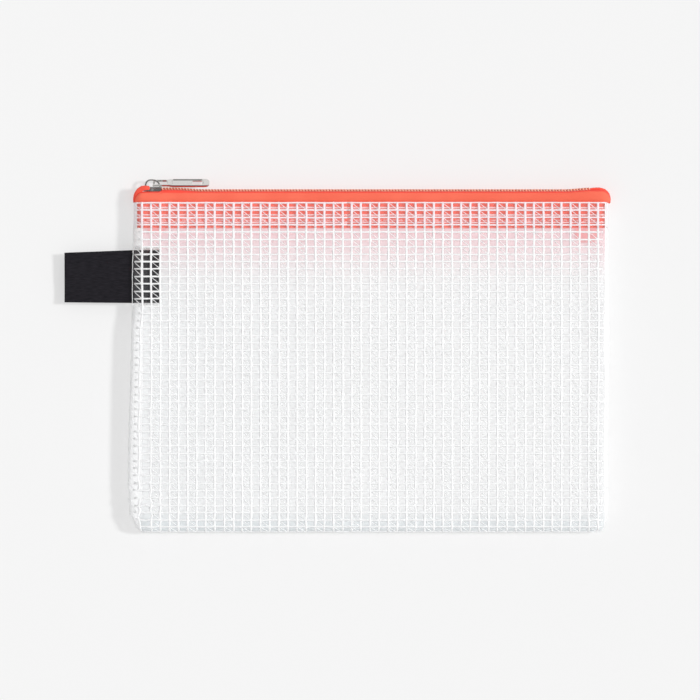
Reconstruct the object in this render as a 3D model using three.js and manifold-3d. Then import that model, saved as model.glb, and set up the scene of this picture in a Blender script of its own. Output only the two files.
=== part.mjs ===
import * as THREE from 'three';
import { mergeVertices } from 'three/addons/utils/BufferGeometryUtils.js';
import Module from 'manifold-3d';

// A flat zipped pouch of laminated mesh, lying on its back. Sizes are in millimetres.
// X runs across the pouch, Y towards the zipper and Z up. The origin is the middle of
// the face that the pouch rests on.

// The bag
const pouchWidth = 200;
const meshHeight = 139;
const pouchThickness = 9;
const sheetThickness = 0.5;
const edgeRoll = 4;
const cornerRun = 14;
const cornerInset = 4.2;
const frontCrown = 1;

// The seams, whose allowances are turned to the inside
const seamAllowance = 6;
const seamThickness = 0.3;

// The hems along the mouth: the mesh is folded under
const hemDepth = 10.8;
const hemPlyThickness = 0.4;
const hemFoldRadius = 0.3;

// The zipper tapes
const tapeThickness = 0.5;
const tapeUnderHem = 11.7;
const tapeStandProud = 4.4;
const tapeSlit = 1.5;
const tapeEndInset = 3.5;
const rightRise = 1.1;
const riseStartInset = 18.5;
const riseEndInset = 8;

// The folded tape ends and the tails inside
const endPlateThickness = 1.6;
const endPlateOverhang = 0.2;
const leftEndHeight = 6.5;
const rightEndHeight = 6.5;
const endCornerReach = 2.6;
const tailWidth = 9.8;
const leftTailReach = 12;
const rightTailReach = 16;

// The coil: its teeth hook past each other over the middle of the chain
const toothPitch = 1.264;
const chainWidth = 3.5;
const coilBackWidth = 0.75;
const coilHeight = 0.95;
const coilSeat = 0.18;
const shankWidth = 0.34;
const headWidth = 0.66;
const headLength = 0.7;
const headOverlap = 0.45;
const chainEndInset = 8;

// The slider
const sliderLength = 8.4;
const sliderStart = 3.8;
const bladeThickness = 0.8;
const flangeThickness = 0.55;
const flangeClearance = 0.15;
const tapeClearance = 0.2;
const lowerChannelDepth = 0.3;
const postWidth = 0.7;
const postLength = 2.6;
const postInset = 0.7;
const spreadFrom = 1.5;
const spreadTo = -1.5;
const bladeCornerRadius = 1;
const bladeBevel = 0.14;

// The crown that holds the pull
const crownWidth = 1;
const crownThickness = 0.65;
const crownInnerHeight = 2.65;
const crownBevel = 0.2;
const crownFrontFoot = -3.4;
const crownRearFoot = 3.6;
const crownPeak = -0.4;

// The pull
const pullLength = 23.8;
const pullWidth = 5.2;
const pullThickness = 1;
const eyeWidth = 4.15;
const eyeThickness = 0.8;
const eyeHoleLength = 5.2;
const eyeArmWidth = 0.6;
const eyeBarDiameter = 0.8;
const pullShoulder = 3.4;
const pullEndRound = 2.2;
const pullBevel = 0.2;
const slotLength = 4.2;
const slotWidth = 2.8;
const slotFromEnd = 3;
const pocketDepth = 0.3;
const pocketRim = 0.55;
const pocketPastSlot = 0.5;
const pullRollDegrees = 36;
const pullPivotX = 0.6;
const pullPivotHeight = 1.65;

// The label: a ribbon folded in two and caught in the left seam
const labelReach = 29;
const labelWidth = 22.3;
const labelEndWidth = 21;
const labelBelowMouth = 31.2;
const labelPly = 0.25;
const labelPlyGap = 0.2;
const labelTailLength = 11;

// The gap between pieces that are sewn or fitted together
const fitGap = 0.3;

const halfWidth = pouchWidth / 2;
const middle = pouchThickness / 2;
const mouthY = meshHeight / 2;
const bottomY = -meshHeight / 2;
const hemStartY = mouthY - hemDepth;
const tapeFaceY = mouthY + tapeStandProud;
const seamHalf = seamThickness / 2;
const chainHalf = chainWidth / 2;
const tapeEndX = halfWidth - tapeEndInset;
const riseStart = halfWidth - riseStartInset;
const riseEnd = halfWidth - riseEndInset;
const chainEnd = halfWidth - chainEndInset;
const labelMiddleY = mouthY - labelBelowMouth;

const wasm = await Module();
wasm.setup();

const meshFilm = { color: 0xeef2f4, roughness: 0.35, metalness: 0 };
const coralTape = { color: 0xfb755d, roughness: 0.85, metalness: 0 };
const coralCoil = { color: 0xf6634f, roughness: 0.4, metalness: 0 };
const nickel = { color: 0xb9bbbd, roughness: 0.22, metalness: 1 };
const blackSatin = { color: 0x24242a, roughness: 0.55, metalness: 0 };

const pouch = new THREE.Group();

// A named mesh of its own material, added to a group.
function addPiece(name, geometry, look, group = pouch) {
  const piece = new THREE.Mesh(geometry, new THREE.MeshStandardMaterial(look));
  piece.name = name;
  group.add(piece);
  return piece;
}

// A geometry of points and triangles, turned to face outwards.
function closedGeometry(points, triangles) {
  let volume = 0;
  for (const [a, b, c] of triangles) {
    volume += points[a].dot(new THREE.Vector3().crossVectors(points[b], points[c]));
  }
  const facing = volume > 0 ? triangles : triangles.map(([a, b, c]) => [a, c, b]);
  const geometry = new THREE.BufferGeometry();
  const positions = points.flatMap((point) => point.toArray());
  geometry.setAttribute('position', new THREE.Float32BufferAttribute(positions, 3));
  geometry.setIndex(facing.flat());
  return geometry;
}

// The points and triangles of a three.js geometry, with shared corners merged.
function mergedCorners(geometry) {
  const bare = new THREE.BufferGeometry();
  bare.setAttribute('position', geometry.getAttribute('position'));
  if (geometry.index) {
    bare.setIndex(geometry.index);
  }
  return mergeVertices(bare, 1e-5);
}

// A geometry moved point by point, and turned to face outwards again.
function reshaped(geometry, move) {
  const merged = mergedCorners(geometry);
  const place = merged.getAttribute('position');
  const points = [];
  for (let i = 0; i < place.count; i += 1) {
    points.push(move(new THREE.Vector3().fromBufferAttribute(place, i)));
  }
  const triangles = [];
  for (let i = 0; i < merged.index.count; i += 3) {
    triangles.push([0, 1, 2].map((k) => merged.index.getX(i + k)));
  }
  return closedGeometry(points, triangles);
}

function toSolid(geometry) {
  const merged = mergedCorners(geometry);
  return new wasm.Manifold(
    new wasm.Mesh({
      numProp: 3,
      vertProperties: Float32Array.from(merged.getAttribute('position').array),
      triVerts: Uint32Array.from(merged.index.array),
    }),
  );
}

function fromSolid(solid) {
  const mesh = solid.getMesh();
  const geometry = new THREE.BufferGeometry();
  geometry.setAttribute('position', new THREE.Float32BufferAttribute(mesh.vertProperties, 3));
  geometry.setIndex(Array.from(mesh.triVerts));
  return geometry;
}

// A flat outline given thickness upwards from a height, with its rims cut at 45 degrees.
function plate(outline, low, high, bevel = 0) {
  const geometry = new THREE.ExtrudeGeometry(outline, {
    depth: high - low - 2 * bevel,
    bevelEnabled: bevel > 0,
    bevelThickness: bevel,
    bevelSize: bevel,
    bevelOffset: -bevel,
    bevelSegments: 1,
    curveSegments: 8,
  });
  return geometry.translate(0, 0, low + bevel);
}

// Rings of equally many points, joined in order and closed at both ends.
function loft(rings, flatRing) {
  const count = flatRing.length;
  const triangles = [];
  for (let r = 0; r + 1 < rings.length; r += 1) {
    for (let i = 0; i < count; i += 1) {
      const a = r * count + i;
      const b = r * count + ((i + 1) % count);
      triangles.push([a, b, a + count], [b, b + count, a + count]);
    }
  }
  const last = (rings.length - 1) * count;
  for (const [a, b, c] of THREE.ShapeUtils.triangulateShape(flatRing, [])) {
    if (THREE.ShapeUtils.isClockWise(flatRing)) {
      triangles.push([a, b, c], [last + a, last + c, last + b]);
    } else {
      triangles.push([a, c, b], [last + a, last + b, last + c]);
    }
  }
  return closedGeometry(rings.flat(), triangles);
}

function clamp01(value) {
  return Math.min(Math.max(value, 0), 1);
}

function smoothStep(value) {
  const t = clamp01(value);
  return t * t * (3 - 2 * t);
}

// How far a rolled edge has climbed, from 0 at the fold to 1 where the sheet is flat.
function edgeLift(distance, reach) {
  return Math.sqrt(1 - (1 - clamp01(distance / reach)) ** 2);
}

// Half the width of the bag at a height: the lower corners draw in as quarter ellipses.
function halfWidthAt(y) {
  const t = clamp01((bottomY + cornerRun - y) / cornerRun);
  return halfWidth - cornerInset * (1 - Math.sqrt(1 - t * t));
}

// A point of the mouth's section, carried along X. The offset counts from the middle
// plane, and the section closes on the seam as the bag's side edge rolls down to it.
function mouthPoint(x, y, offset, side) {
  const lift = edgeLift(halfWidth - Math.abs(x), edgeRoll);
  return new THREE.Vector3(x, y, middle + side * (seamHalf + (offset - seamHalf) * lift));
}

// The height that the tapes and the coil gain at the right end of the mouth.
function endRise(x) {
  return rightRise * smoothStep((x - riseStart) / (riseEnd - riseStart));
}

// A panel is a shallow tray with rolled side and bottom edges.
function panelGeometry(side, crownRise) {
  const edgeShares = [0, 0.08, 0.3, 0.65, 1];
  const middleColumns = 12;
  const middleRows = 8;
  const flatTopY = hemStartY - fitGap;
  const columns = [...edgeShares.map((share) => [-1, share])];
  for (let i = 1; i < middleColumns; i += 1) {
    columns.push([0, (2 * i) / middleColumns - 1]);
  }
  columns.push(...edgeShares.map((share) => [1, share]).reverse());
  const rows = edgeShares.map((share) => [1, share]);
  for (let j = 1; j <= middleRows; j += 1) {
    rows.push([0, j / middleRows]);
  }

  function surfacePoint(column, row, inset) {
    const reach = edgeRoll - inset;
    const flatBottomY = bottomY + edgeRoll;
    const y = row[0]
      ? bottomY + inset + row[1] * reach
      : flatBottomY + row[1] * (flatTopY - flatBottomY);
    const rim = halfWidthAt(y) - inset;
    const flatHalf = rim - reach;
    const x = column[0] ? column[0] * (rim - column[1] * reach) : column[1] * flatHalf;
    const lift = (column[0] ? edgeLift(column[1], 1) : 1) * (row[0] ? edgeLift(row[1], 1) : 1);
    const across = clamp01(1 - (x / flatHalf) ** 2);
    const along = row[0] ? 0 : 4 * row[1] * (1 - row[1]);
    const height = middle - inset - seamHalf;
    const z = seamHalf + height * lift + crownRise * across * along;
    return new THREE.Vector3(x, y, middle + side * z);
  }

  const across = columns.length;
  const points = [];
  for (const inset of [0, sheetThickness]) {
    for (const row of rows) {
      for (const column of columns) {
        points.push(surfacePoint(column, row, inset));
      }
    }
  }
  const layer = across * rows.length;
  const at = (j, i, inner) => inner * layer + j * across + i;
  const triangles = [];
  const quad = (a, b, c, d) => triangles.push([a, b, c], [a, c, d]);
  for (let j = 0; j + 1 < rows.length; j += 1) {
    for (let i = 0; i + 1 < across; i += 1) {
      quad(at(j, i, 0), at(j, i + 1, 0), at(j + 1, i + 1, 0), at(j + 1, i, 0));
      quad(at(j, i, 1), at(j + 1, i, 1), at(j + 1, i + 1, 1), at(j, i + 1, 1));
    }
    const end = across - 1;
    quad(at(j, 0, 0), at(j + 1, 0, 0), at(j + 1, 0, 1), at(j, 0, 1));
    quad(at(j, end, 0), at(j, end, 1), at(j + 1, end, 1), at(j + 1, end, 0));
  }
  for (let i = 0; i + 1 < across; i += 1) {
    const top = rows.length - 1;
    quad(at(0, i, 0), at(0, i, 1), at(0, i + 1, 1), at(0, i + 1, 0));
    quad(at(top, i, 0), at(top, i + 1, 0), at(top, i + 1, 1), at(top, i, 1));
  }
  return closedGeometry(points, triangles);
}

// A seam allowance: both sheets' edges, turned in and lying in the middle plane.
function seamStrip(outline) {
  const shape = new THREE.Shape(outline.map(([x, y]) => new THREE.Vector2(x, y)));
  return plate(shape, middle - seamHalf, middle + seamHalf);
}

function heights(low, high, steps) {
  return Array.from({ length: steps + 1 }, (_, i) => low + ((high - low) * i) / steps);
}

function sideSeam(side, low, high) {
  const levels = heights(low, high, 6);
  const outer = levels.map((y) => [side * halfWidthAt(y), y]);
  const inner = levels.map((y) => [side * (halfWidthAt(y) - seamAllowance), y]);
  return seamStrip([...outer, ...inner.reverse()]);
}

function bottomSeam() {
  const levels = [0, 0.04, 0.15, 0.4, 0.7, 1].map((t) => bottomY + t * seamAllowance);
  const right = levels.map((y) => [halfWidthAt(y), y]);
  const left = levels.map((y) => [-halfWidthAt(y), y]).reverse();
  return seamStrip([...right, ...left]);
}

// The hem's section: the sheet comes up outside, folds at the mouth and goes back under.
const hemInnerFace = middle - sheetThickness;
const hemPlyTop = hemInnerFace - fitGap;
const hemPlyLow = hemPlyTop - hemPlyThickness;
const hemSection = [
  [hemStartY, hemInnerFace],
  [mouthY - sheetThickness, hemInnerFace],
  [mouthY - sheetThickness, hemPlyTop],
  [hemStartY + fitGap, hemPlyTop],
  [hemStartY + fitGap, hemPlyLow],
  [mouthY - hemFoldRadius, hemPlyLow],
  [mouthY, hemPlyLow + hemFoldRadius],
  [mouthY, middle - hemFoldRadius],
  [mouthY - hemFoldRadius, middle],
  [hemStartY, middle],
];

function hemGeometry(side) {
  const insets = [0.12, 0.4, 0.9, 1.7, 2.7, edgeRoll];
  const stations = [
    ...insets.map((inset) => inset - halfWidth),
    ...insets.map((inset) => halfWidth - inset).reverse(),
  ];
  const rings = stations.map((x) =>
    hemSection.map(([y, offset]) => mouthPoint(x, y, offset, side)),
  );
  return loft(rings, hemSection.map(([y, offset]) => new THREE.Vector2(y, offset)));
}

// The tape's section: flat under the hem, then out past the fold, over a soft bend and
// into the chain's plane, which is square to the bag.
const tapeHalf = tapeThickness / 2;
const tapeFlatOffset = hemPlyLow - fitGap - tapeHalf;
const tapeCrestOffset = middle - 0.1 - tapeHalf;
const tapeMiddleY = tapeFaceY - tapeHalf;
const tapeLine = [
  [mouthY - tapeUnderHem, tapeFlatOffset],
  [mouthY + 0.1, tapeFlatOffset],
  [mouthY + 0.9, tapeFlatOffset + 0.38 * (tapeCrestOffset - tapeFlatOffset)],
  [mouthY + 1.6, tapeFlatOffset + 0.86 * (tapeCrestOffset - tapeFlatOffset)],
  [mouthY + 2.4, tapeCrestOffset],
  [tapeMiddleY - 0.95, tapeCrestOffset - 0.02],
  [tapeMiddleY - 0.3, tapeCrestOffset - 0.26],
  [tapeMiddleY, tapeCrestOffset - 0.8],
  [tapeMiddleY, tapeSlit / 2],
].map(([y, offset]) => new THREE.Vector2(y, offset));

// A line given thickness: its left side forwards, then its right side backwards.
function thickened(line, half) {
  const sides = line.map((point, i) => {
    const before = line[Math.max(i - 1, 0)];
    const after = line[Math.min(i + 1, line.length - 1)];
    const into = point.clone().sub(before).normalize();
    const away = after.clone().sub(point).normalize();
    const along = into.clone().add(away).normalize();
    const normal = new THREE.Vector2(-along.y, along.x);
    const bend = Math.max(into.lengthSq() > 0 ? along.dot(into) : along.dot(away), 0.5);
    const reach = normal.multiplyScalar(half / bend);
    return [point.clone().add(reach), point.clone().sub(reach)];
  });
  return [...sides.map((pair) => pair[0]), ...sides.map((pair) => pair[1]).reverse()];
}

function tapeGeometry(side) {
  const section = thickened(tapeLine, tapeHalf);
  const climbSteps = 7;
  const climb = heights(riseStart, riseEnd, climbSteps);
  const stations = [-tapeEndX, 4 - halfWidth, 0, ...climb, tapeEndX];
  const rings = stations.map((x) =>
    section.map((point) => {
      const proud = clamp01((point.x - mouthY) / (tapeMiddleY - mouthY - 0.5));
      return mouthPoint(x, point.x + endRise(x) * proud, point.y, side);
    }),
  );
  return loft(rings, section);
}

// How far the two coils are spread inside the slider, at a place along the slider.
const coilSpread = postWidth / 2 + headOverlap + 0.1;
const sliderMiddleX = -halfWidth + sliderStart + sliderLength / 2;

function spreadAt(along) {
  return coilSpread * smoothStep((spreadFrom - along) / (spreadFrom - spreadTo));
}

// A coil seen square to the chain is a comb. Each tooth has a slim shank and a head that
// flares towards its tip, so that the other coil's heads can't pull out between them.
function coilGeometry(side, phase) {
  const first = -tapeEndX + 0.9 + phase * toothPitch;
  const last = Math.floor((chainEnd - 0.5 - first) / toothPitch);
  const back = chainHalf - coilBackWidth;
  const comb = [];
  const backLine = [];
  for (let i = 0; i <= last; i += 1) {
    const x = first + i * toothPitch;
    const spread = spreadAt(x - sliderMiddleX);
    const shank = shankWidth / 2;
    const tip = -headOverlap + spread;
    const root = back + spread;
    comb.push(
      [x - shank, root],
      [x - shank, tip + headLength],
      [x - headWidth / 2, tip],
      [x + headWidth / 2, tip],
      [x + shank, tip + headLength],
      [x + shank, root],
    );
    if (spread > 0 || x > riseStart || i % 6 === 0 || i === last) {
      backLine.push([x, chainHalf + spread]);
    }
  }
  const endSpread = spreadAt(first - 0.45 - sliderMiddleX);
  const outline = [
    [first - 0.45, chainHalf + endSpread],
    [first - 0.45, back + endSpread],
    ...comb,
    [first + last * toothPitch + 0.45, back],
    [first + last * toothPitch + 0.45, chainHalf],
    ...backLine.reverse(),
  ];
  const shape = new THREE.Shape(outline.map(([x, y]) => new THREE.Vector2(x, y)));
  return reshaped(plate(shape, 0, coilHeight), (point) => {
    const y = tapeFaceY + coilSeat + point.z + endRise(point.x);
    return new THREE.Vector3(point.x, y, middle + side * point.y);
  });
}

// The end of the mouth, where both tapes are pinched together, with its outer corner round.
function tapeEndGeometry(side, height) {
  const inner = tapeEndX + fitGap;
  const outer = halfWidth + endPlateOverhang;
  const low = mouthY - fitGap;
  const top = mouthY + height;
  const shape = new THREE.Shape();
  shape.moveTo(inner, low);
  shape.lineTo(outer - 0.2, low);
  shape.lineTo(outer, mouthY + 0.6);
  shape.bezierCurveTo(outer, top - 1.6, outer - 0.9, top, outer - endCornerReach, top);
  shape.lineTo(inner, top - 0.1);
  const half = endPlateThickness / 2;
  return reshaped(plate(shape, middle - half, middle + half), (point) => {
    point.x *= side;
    return point;
  });
}

// A tape's tail, folded down inside the bag under the tape.
function tailGeometry(xSide, side, reach) {
  const top = tapeFlatOffset - tapeHalf - fitGap;
  const low = top - tapeThickness;
  const outerX = tapeEndX - 1;
  const highY = mouthY - 1;
  const corner = 1.2;
  const shape = new THREE.Shape();
  shape.moveTo(outerX, highY);
  shape.lineTo(outerX, highY - reach + 2 * corner);
  shape.lineTo(outerX - 2 * corner, highY - reach);
  shape.lineTo(outerX - tailWidth + corner, highY - reach);
  shape.lineTo(outerX - tailWidth, highY - reach + corner);
  shape.lineTo(outerX - tailWidth, highY);
  return reshaped(plate(shape, low, top), (point) =>
    new THREE.Vector3(xSide * point.x, point.y, middle + side * point.z),
  );
}

// The slider, in its own frame: x along the chain towards its narrow end, z out of the
// chain from the tapes' face.
const coilTop = coilSeat + coilHeight;
const upperBladeLow = coilTop + flangeClearance;
const upperBladeHigh = upperBladeLow + bladeThickness;
const lowerFlangeHigh = -tapeThickness - tapeClearance;
const lowerBladeHigh = lowerFlangeHigh - lowerChannelDepth;
const lowerBladeLow = lowerBladeHigh - bladeThickness;

function channelHalf(x) {
  return chainHalf + spreadAt(x) + flangeClearance;
}

function bladeOutline() {
  const end = sliderLength / 2;
  const radius = bladeCornerRadius;
  const inset = [0, 0.12, 0.45, 1].map((t) => t * radius);
  const alongs = [
    ...inset.map((d) => d - end),
    ...heights(radius - end, end - radius, 6).slice(1, -1),
    ...inset.map((d) => end - d).reverse(),
  ];
  const points = alongs.map((x) => {
    const left = Math.max(radius - (end - Math.abs(x)), 0);
    const cut = radius - Math.sqrt(radius * radius - left * left);
    return new THREE.Vector2(x, channelHalf(x) + flangeThickness - cut);
  });
  const mirrored = points.map((p) => new THREE.Vector2(p.x, -p.y)).reverse();
  return new THREE.Shape([...points, ...mirrored]);
}

function flangeOutline(side) {
  const alongs = heights(0.7 - sliderLength / 2, sliderLength / 2 - 0.4, 9);
  const inner = alongs.map((x) => new THREE.Vector2(x, side * channelHalf(x)));
  const outer = alongs.map((x) => {
    return new THREE.Vector2(x, side * (channelHalf(x) + flangeThickness - 0.04));
  });
  return new THREE.Shape([...inner, ...outer.reverse()]);
}

function sliderGeometry() {
  const post = new THREE.Shape();
  const postStart = postInset - sliderLength / 2;
  post.moveTo(postStart, 0);
  post.lineTo(postStart + 0.5, -postWidth / 2);
  post.lineTo(postStart + postLength - 0.9, -postWidth / 2);
  post.lineTo(postStart + postLength, 0);
  post.lineTo(postStart + postLength - 0.9, postWidth / 2);
  post.lineTo(postStart + 0.5, postWidth / 2);
  const join = 0.05;
  let solid = toSolid(plate(bladeOutline(), upperBladeLow, upperBladeHigh, bladeBevel));
  solid = solid.add(toSolid(plate(bladeOutline(), lowerBladeLow, lowerBladeHigh, bladeBevel)));
  solid = solid.add(toSolid(plate(post, lowerBladeHigh - join, upperBladeLow + join)));
  for (const side of [-1, 1]) {
    const flange = flangeOutline(side);
    const upper = plate(flange, tapeClearance, upperBladeLow + bladeBevel + join);
    const lower = plate(flange, lowerBladeHigh - bladeBevel - join, lowerFlangeHigh);
    solid = solid.add(toSolid(reshaped(upper, (point) => point)));
    solid = solid.add(toSolid(reshaped(lower, (point) => point)));
  }
  return fromSolid(solid);
}

// The crown is a bent strap that stands on the upper blade.
function crownGeometry() {
  const foot = upperBladeHigh;
  const inner = foot + crownInnerHeight;
  const outer = inner + crownThickness;
  const front = crownFrontFoot;
  const rear = crownRearFoot;
  const t = crownThickness;
  const shape = new THREE.Shape();
  shape.moveTo(front, foot);
  shape.bezierCurveTo(front + 0.1, outer - 1, front + 1, outer, crownPeak, outer);
  shape.bezierCurveTo(rear - 1.9, outer, rear - 0.2, outer - 0.8, rear, foot);
  shape.lineTo(rear - 1.2 * t, foot);
  shape.bezierCurveTo(rear - 1.6 * t, inner - 0.6, rear - 2.2, inner, crownPeak, inner);
  shape.bezierCurveTo(front + 1.6, inner, front + 1.4 * t, inner - 0.7, front + 1.2 * t, foot);
  const half = crownWidth / 2;
  return reshaped(plate(shape, -half, half, crownBevel), (point) =>
    new THREE.Vector3(point.x, -point.z, point.y),
  );
}

// A rectangle with round corners, from x0 to x1 and half as wide as given each way.
function roundedSlot(x0, x1, half, radius, pathClass = THREE.Path) {
  const path = new pathClass();
  path.moveTo(x0 + radius, -half);
  path.lineTo(x1 - radius, -half);
  path.absarc(x1 - radius, radius - half, radius, -Math.PI / 2, 0);
  path.lineTo(x1, half - radius);
  path.absarc(x1 - radius, half - radius, radius, 0, Math.PI / 2);
  path.lineTo(x0 + radius, half);
  path.absarc(x0 + radius, half - radius, radius, Math.PI / 2, Math.PI);
  path.lineTo(x0, radius - half);
  path.absarc(x0 + radius, radius - half, radius, Math.PI, 1.5 * Math.PI);
  return path;
}

// The pull, in its own frame: x along it from the middle of the eye's bar, z through it.
function pullGeometry() {
  const half = pullWidth / 2;
  const eyeHalf = eyeWidth / 2;
  const bar = eyeBarDiameter / 2;
  const eyeEnd = bar + eyeHoleLength;
  const end = pullLength - bar;
  const neck = eyeEnd + eyeArmWidth;
  const outline = new THREE.Shape();
  outline.moveTo(-bar / 2, -eyeHalf);
  outline.lineTo(eyeEnd - 0.6, -eyeHalf);
  outline.bezierCurveTo(neck + 0.8, -eyeHalf, neck + 0.4, -half, neck + pullShoulder, -half);
  outline.lineTo(end - pullEndRound, -half);
  outline.quadraticCurveTo(end, -half, end, pullEndRound - half);
  outline.lineTo(end, half - pullEndRound);
  outline.quadraticCurveTo(end, half, end - pullEndRound, half);
  outline.lineTo(neck + pullShoulder, half);
  outline.bezierCurveTo(neck + 0.4, half, neck + 0.8, eyeHalf, eyeEnd - 0.6, eyeHalf);
  outline.lineTo(-bar / 2, eyeHalf);
  const slotEnd = end - slotFromEnd;
  outline.holes.push(roundedSlot(bar, eyeEnd, eyeHalf - eyeArmWidth, 0.5));
  outline.holes.push(roundedSlot(slotEnd - slotLength, slotEnd, slotWidth / 2, 0.5));
  const thick = pullThickness / 2;
  let solid = toSolid(plate(outline, -thick, thick, pullBevel));
  const shave = thick - eyeThickness / 2;
  const pocketEnd = slotEnd + pocketPastSlot;
  const pocketHalf = half - pocketRim;
  const pocket = roundedSlot(neck + 1.4, pocketEnd, pocketHalf, 0.9, THREE.Shape);
  for (const side of [-1, 1]) {
    const cut = new THREE.BoxGeometry(2 * neck, 2 * pullWidth, 2 * shave);
    solid = solid.subtract(toSolid(cut.translate(0, 0, side * thick)));
    const floor = side * (thick - pocketDepth);
    const bound = [floor, floor + side].sort((a, b) => a - b);
    solid = solid.subtract(toSolid(plate(pocket, bound[0], bound[1], pocketDepth)));
  }
  solid = solid.add(toSolid(new THREE.CylinderGeometry(bar, bar, eyeWidth, 16)));
  return fromSolid(solid);
}

// The label outside the bag: a ribbon folded in two, its fold at the far end.
function labelTabGeometry() {
  const start = halfWidth + fitGap;
  const end = halfWidth + labelReach;
  const inner = labelPlyGap / 2;
  const outer = inner + labelPly;
  const shape = new THREE.Shape();
  shape.moveTo(-start, outer);
  shape.lineTo(outer - end, outer);
  shape.absarc(outer - end, 0, outer, Math.PI / 2, 1.5 * Math.PI);
  shape.lineTo(-start, -outer);
  shape.lineTo(-start, -inner);
  shape.lineTo(outer - end, -inner);
  shape.lineTo(outer - end, inner);
  shape.lineTo(-start, inner);
  return reshaped(plate(shape, -labelWidth / 2, labelWidth / 2), (point) => {
    const share = clamp01((-point.x - start) / (end - start));
    const taper = 1 + share * (labelEndWidth / labelWidth - 1);
    return new THREE.Vector3(point.x, labelMiddleY + point.z * taper, middle + point.y);
  });
}

function labelTailGeometry() {
  const low = labelMiddleY - labelWidth / 2;
  const high = labelMiddleY + labelWidth / 2;
  const inner = labelTailLength - halfWidth;
  return seamStrip([[-halfWidth, low], [inner, low], [inner, high], [-halfWidth, high]]);
}

addPiece('front_panel', panelGeometry(1, frontCrown), meshFilm);
addPiece('back_panel', panelGeometry(-1, 0), meshFilm);
addPiece('front_hem', hemGeometry(1), meshFilm);
addPiece('back_hem', hemGeometry(-1), meshFilm);

const seamLowY = bottomY + seamAllowance + fitGap;
const seamHighY = mouthY - 2 * fitGap;
const labelLowY = labelMiddleY - labelWidth / 2;
addPiece('bottom_seam', bottomSeam(), meshFilm);
addPiece('right_seam', sideSeam(1, seamLowY, seamHighY), meshFilm);
addPiece('left_seam_lower', sideSeam(-1, seamLowY, labelLowY - fitGap), meshFilm);
addPiece('left_seam_upper', sideSeam(-1, labelLowY + labelWidth + fitGap, seamHighY), meshFilm);

addPiece('front_tape', tapeGeometry(1), coralTape);
addPiece('back_tape', tapeGeometry(-1), coralTape);
addPiece('left_tape_end', tapeEndGeometry(-1, leftEndHeight), coralTape);
addPiece('right_tape_end', tapeEndGeometry(1, rightEndHeight), coralTape);
addPiece('front_tail_left', tailGeometry(-1, 1, leftTailReach), coralTape);
addPiece('front_tail_right', tailGeometry(1, 1, rightTailReach), coralTape);
addPiece('back_tail_left', tailGeometry(-1, -1, leftTailReach), coralTape);
addPiece('back_tail_right', tailGeometry(1, -1, rightTailReach), coralTape);
addPiece('front_coil', coilGeometry(1, 0), coralCoil);
addPiece('back_coil', coilGeometry(-1, 0.5), coralCoil);

const slider = new THREE.Group();
slider.position.set(sliderMiddleX, tapeFaceY, middle);
slider.rotation.x = -Math.PI / 2;
pouch.add(slider);
addPiece('slider_body', sliderGeometry(), nickel, slider);
addPiece('slider_crown', crownGeometry(), nickel, slider);

const pull = addPiece('pull_tab', pullGeometry(), nickel, slider);
pull.position.set(pullPivotX, 0, upperBladeHigh + pullPivotHeight);
pull.rotation.x = THREE.MathUtils.degToRad(pullRollDegrees);

addPiece('label_tab', labelTabGeometry(), blackSatin);
addPiece('label_tail', labelTailGeometry(), blackSatin);

export default pouch;
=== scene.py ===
import math

import bpy
import numpy as np
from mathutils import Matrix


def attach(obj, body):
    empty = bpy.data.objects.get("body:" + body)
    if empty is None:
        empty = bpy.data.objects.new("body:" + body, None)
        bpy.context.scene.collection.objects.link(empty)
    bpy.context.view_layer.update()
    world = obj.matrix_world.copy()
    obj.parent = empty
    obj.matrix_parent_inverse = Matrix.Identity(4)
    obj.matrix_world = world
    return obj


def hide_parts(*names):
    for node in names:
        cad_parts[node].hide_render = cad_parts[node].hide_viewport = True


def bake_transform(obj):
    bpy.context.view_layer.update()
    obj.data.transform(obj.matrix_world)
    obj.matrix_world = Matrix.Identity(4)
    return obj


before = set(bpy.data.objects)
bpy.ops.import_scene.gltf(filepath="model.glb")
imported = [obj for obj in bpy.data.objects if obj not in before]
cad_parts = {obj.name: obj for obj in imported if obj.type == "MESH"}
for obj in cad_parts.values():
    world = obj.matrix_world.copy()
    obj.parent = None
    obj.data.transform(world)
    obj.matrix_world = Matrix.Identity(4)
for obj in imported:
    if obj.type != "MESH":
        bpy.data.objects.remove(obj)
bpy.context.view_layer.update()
chance = np.random.default_rng(2611)

# The pouch's own sizes, in millimetres.
pouch = {
    "halfWidth": 100.0, "mouthY": 69.5, "bottomY": -69.5, "middle": 4.5,
    "roll": 4.0, "cornerRun": 14.0, "cornerInset": 4.2, "crown": 1.0,
    "hingeY": 58.7, "sheetOffset": 4.25, "edgeOffset": 0.2, "sheetInset": 0.25,
    "tapeFaceY": 73.9, "rightRise": 0.65, "riseStart": 81.5, "riseEnd": 92.0,
    "sliderX": -92.0, "leftPress": 0.55, "pressFrom": 26.0, "pressRun": 12.0,
    "rollRadius": 3.9,
}
middle, mouthY, hingeY = pouch["middle"], pouch["mouthY"], pouch["hingeY"]
flatHalf = pouch["halfWidth"] - pouch["roll"]
flatDown = hingeY - (pouch["bottomY"] + pouch["roll"])
rollReach = pouch["roll"] - pouch["sheetInset"]
rollRun = pouch["rollRadius"] * math.pi / 2


# An S-shaped step from 0 to 1: 3t squared less 2t cubed.
def smoothStep(t):
    t = np.clip(t, 0, 1)
    return t * t * (3 - 2 * t)


# The value a share of the way from a to b.
def between(a, b, share):
    return a + (b - a) * share


# Each vector divided by its own length.
def unit(vectors):
    return vectors / np.maximum(np.linalg.norm(vectors, axis=-1, keepdims=True), 1e-12)


# Three coordinates over one grid become an array of points.
def pointsOf(x, y, z):
    return np.stack(np.broadcast_arrays(x, y, z), axis=-1)


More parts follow.
